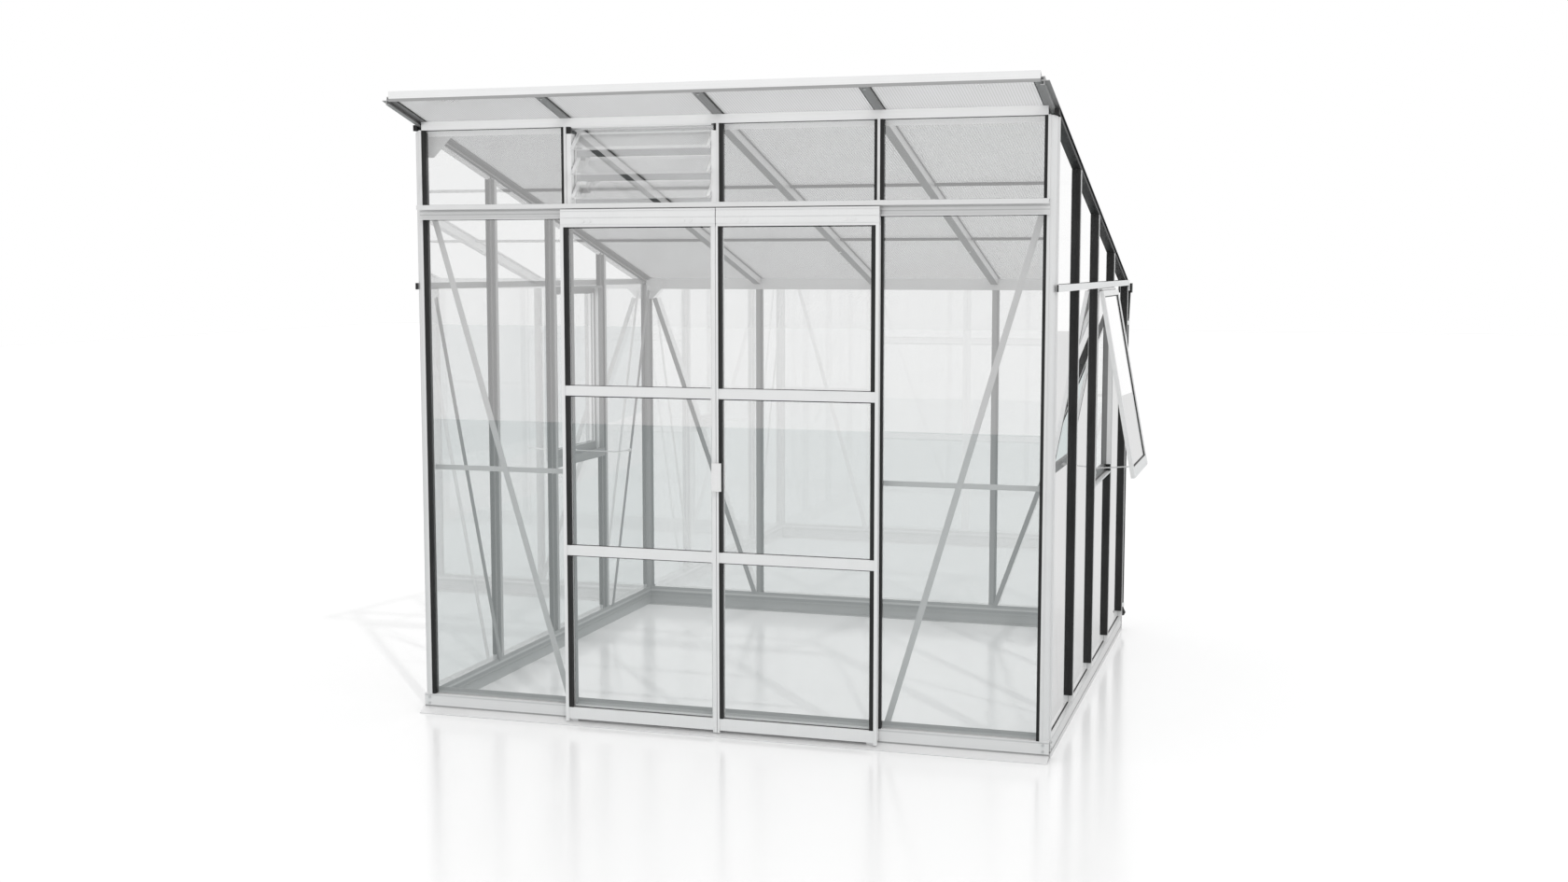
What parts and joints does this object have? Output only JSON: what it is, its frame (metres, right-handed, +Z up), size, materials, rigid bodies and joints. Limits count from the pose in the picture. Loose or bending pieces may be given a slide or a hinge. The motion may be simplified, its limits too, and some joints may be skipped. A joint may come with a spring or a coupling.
{
  "type": "lean-to greenhouse",
  "caption": "Walk-in greenhouse with an aluminium frame, glass walls, a single-slope twin-wall roof, double sliding doors, opening side windows, a louvre vent and a rear gutter",
  "frame": {"origin": "middle of the footprint on the ground, at the centre of the rectangle of anchor holes", "axes": "+Z up; -Y is the tall front with the doors, +Y the low rear wall; +X is the right-hand side seen from the front"},
  "size_m": [2.7403, 2.7614, 2.47],
  "materials": {
    "aluminium": "mill aluminium, satin",
    "inner_aluminium": "mill aluminium, satin",
    "glass": "clear horticultural glass",
    "twin_wall_sheet": "translucent twin-wall sheet",
    "black_plastic": "matt black",
    "wheel_nylon": "white nylon",
    "clip_aluminium": "satin",
    "steel": "zinc plated",
    "handle": "white"
  },
  "bodies": {
    "frame": {"corner_gussets": "inner_aluminium", "corner_posts": "aluminium", "door_track": "aluminium", "downpipes": "black_plastic", "edge_rafters": "inner_aluminium", "frame_bolts": "steel", "front_bars": "aluminium", "front_cap_strips": "black_plastic", "front_eaves_beam": "aluminium", "front_glass": "glass", "front_sill": "aluminium", "front_transom": "aluminium", "gutter_outlets": "black_plastic", "inner_rafters": "inner_aluminium", "louvre_frame": "aluminium", "pipe_brackets": "aluminium", "rear_bars": "aluminium", "rear_eaves_beam": "aluminium", "rear_glass": "glass", "rear_gutter": "aluminium", "rear_sill": "aluminium", "roof_cappings": "aluminium", "roof_cross_bars": "inner_aluminium", "roof_fascia": "aluminium", "roof_sheets": "twin_wall_sheet", "side_bars": "aluminium", "side_glass": "glass", "side_rails": "aluminium", "side_sills": "aluminium", "threshold_ramp": "aluminium", "verge_strips": "black_plastic", "wall_braces": "inner_aluminium", "wall_cap_strips": "black_plastic", "window_hinge_pins": "steel", "window_subframes": "aluminium"},
    "left_door": {"left_door_frame": "aluminium", "left_door_glass": "glass", "left_door_strips": "black_plastic", "door_handle": "handle"},
    "right_door": {"right_door_frame": "aluminium", "right_door_glass": "glass", "right_door_strips": "black_plastic"},
    "left_window": {"left_window_frame": "aluminium", "left_window_glass": "glass"},
    "right_window": {"right_window_frame": "aluminium", "right_window_glass": "glass"},
    "left_stay": {"left_window_stay": "aluminium"},
    "right_stay": {"right_window_stay": "aluminium"},
    "blade_1": {"louvre_blade_1": "glass", "blade_clips_1": "clip_aluminium"},
    "blade_2": {"louvre_blade_2": "glass", "blade_clips_2": "clip_aluminium"},
    "blade_3": {"louvre_blade_3": "glass", "blade_clips_3": "clip_aluminium", "louvre_lever": "black_plastic"},
    "louvre_link": {"louvre_link": "black_plastic"},
    "left_wheel_1": {"left_door_wheel_1": "wheel_nylon"},
    "left_wheel_2": {"left_door_wheel_2": "wheel_nylon"},
    "right_wheel_1": {"right_door_wheel_1": "wheel_nylon"},
    "right_wheel_2": {"right_door_wheel_2": "wheel_nylon"}
  },
  "joints": [
    {"name": "left_door_slide", "type": "slide", "parent": "frame", "child": "left_door", "axis": [-1, 0, 0], "range_m": [0, 0.58]},
    {"name": "right_door_slide", "type": "slide", "parent": "frame", "child": "right_door", "axis": [1, 0, 0], "range_m": [0, 0.58]},
    {"name": "left_wheel_1_roll", "type": "hinge", "parent": "left_door", "child": "left_wheel_1", "pos_m": [-0.1115, -1.247, 2.0063], "axis": [0, -1, 0], "range_deg": [-5, 2379]},
    {"name": "left_wheel_2_roll", "type": "hinge", "parent": "left_door", "child": "left_wheel_2", "pos_m": [-0.523, -1.247, 2.0063], "axis": [0, -1, 0], "range_deg": [-5, 2379]},
    {"name": "right_wheel_1_roll", "type": "hinge", "parent": "right_door", "child": "right_wheel_1", "pos_m": [0.1115, -1.247, 2.0063], "axis": [0, 1, 0], "range_deg": [-5, 2379]},
    {"name": "right_wheel_2_roll", "type": "hinge", "parent": "right_door", "child": "right_wheel_2", "pos_m": [0.523, -1.247, 2.0063], "axis": [0, 1, 0], "range_deg": [-5, 2379]},
    {"name": "left_window_hinge", "type": "hinge", "parent": "frame", "child": "left_window", "pos_m": [-1.284, 0.3005, 1.706], "axis": [0, 1, 0], "range_deg": [0, 18]},
    {"name": "left_stay_hinge", "type": "hinge", "parent": "left_window", "child": "left_stay", "pos_m": [-1.271, 0.3005, 0.915], "axis": [0, 1, 0], "range_deg": [-10.4, 0.5]},
    {"name": "right_window_hinge", "type": "hinge", "parent": "frame", "child": "right_window", "pos_m": [1.284, 0.3005, 1.706], "axis": [0, -1, 0], "range_deg": [-10.5, 7.5]},
    {"name": "right_stay_hinge", "type": "hinge", "parent": "right_window", "child": "right_stay", "pos_m": [1.41537, 0.3005, 0.92588], "axis": [0, -1, 0], "range_deg": [-4.62, 6.28]},
    {"name": "blade_1_pivot", "type": "hinge", "parent": "frame", "child": "blade_1", "pos_m": [-0.311, -1.214, 2.284], "axis": [-1, 0, 0], "range_deg": [-40, 17]},
    {"name": "blade_2_pivot", "type": "hinge", "parent": "frame", "child": "blade_2", "pos_m": [-0.311, -1.214, 2.191], "axis": [-1, 0, 0], "range_deg": [-40, 17]},
    {"name": "blade_3_pivot", "type": "hinge", "parent": "frame", "child": "blade_3", "pos_m": [-0.311, -1.214, 2.098], "axis": [-1, 0, 0], "range_deg": [-40, 17]},
    {"name": "louvre_link_pin", "type": "hinge", "parent": "blade_3", "child": "louvre_link", "pos_m": [-0.594, -1.19844, 2.08244], "axis": [-1, 0, 0], "range_deg": [-17.5, 40.5]}
  ],
  "couplings": [
    {"joint": "left_wheel_1_roll", "follows": "left_door_slide", "rad_per_m": 71.429},
    {"joint": "left_wheel_2_roll", "follows": "left_door_slide", "rad_per_m": 71.429},
    {"joint": "right_wheel_1_roll", "follows": "right_door_slide", "rad_per_m": 71.429},
    {"joint": "right_wheel_2_roll", "follows": "right_door_slide", "rad_per_m": 71.429},
    {"joint": "left_stay_hinge", "follows": "left_window_hinge", "ratio": -0.55},
    {"joint": "right_stay_hinge", "follows": "right_window_hinge", "ratio": -0.55},
    {"joint": "blade_1_pivot", "follows": "blade_3_pivot", "ratio": 1},
    {"joint": "blade_2_pivot", "follows": "blade_3_pivot", "ratio": 1},
    {"joint": "louvre_link_pin", "follows": "blade_3_pivot", "ratio": -1}
  ]
}
